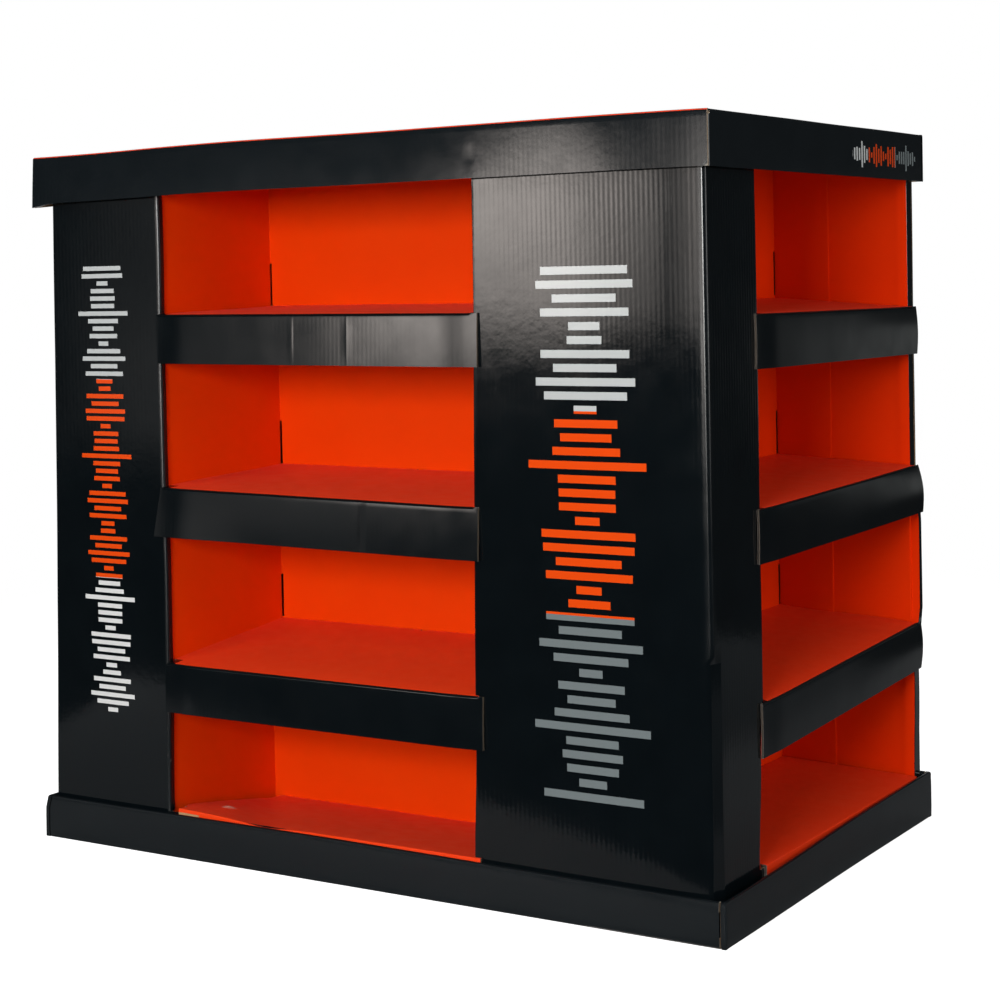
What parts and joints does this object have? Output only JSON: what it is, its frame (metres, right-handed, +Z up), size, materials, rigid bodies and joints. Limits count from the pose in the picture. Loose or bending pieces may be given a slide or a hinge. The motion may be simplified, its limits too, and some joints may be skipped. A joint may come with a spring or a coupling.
{
  "type": "cardboard display stand",
  "caption": "Floor-standing shop display of folded corrugated board: black sleeve on a base tray, orange shelved bays with lipped shelves in its front and right side, lift-off cap.",
  "frame": {"origin": "on the ground under the middle of the base tray", "axes": "+X to the right along the front, +Y from the front to the back, +Z up"},
  "size_m": [1.016, 0.658, 0.929],
  "materials": {
    "black_board": "gloss black print",
    "orange_board": "satin orange print",
    "shelf_board": "satin orange print with gloss black lip"
  },
  "bodies": {
    "root": {"base_tray": "black_board", "sleeve_front": "black_board", "sleeve_rear": "black_board", "top_cap": "black_board", "front_bay_liner": "orange_board", "side_bay_liner": "orange_board", "side_bay_far_wall": "orange_board", "front_bay_floor": "orange_board", "side_bay_floor": "orange_board", "front_shelf_top": "shelf_board", "front_shelf_middle": "shelf_board", "front_shelf_bottom": "shelf_board", "side_shelf_top": "shelf_board", "side_shelf_middle": "shelf_board", "side_shelf_bottom": "shelf_board"}
  },
  "joints": []
}
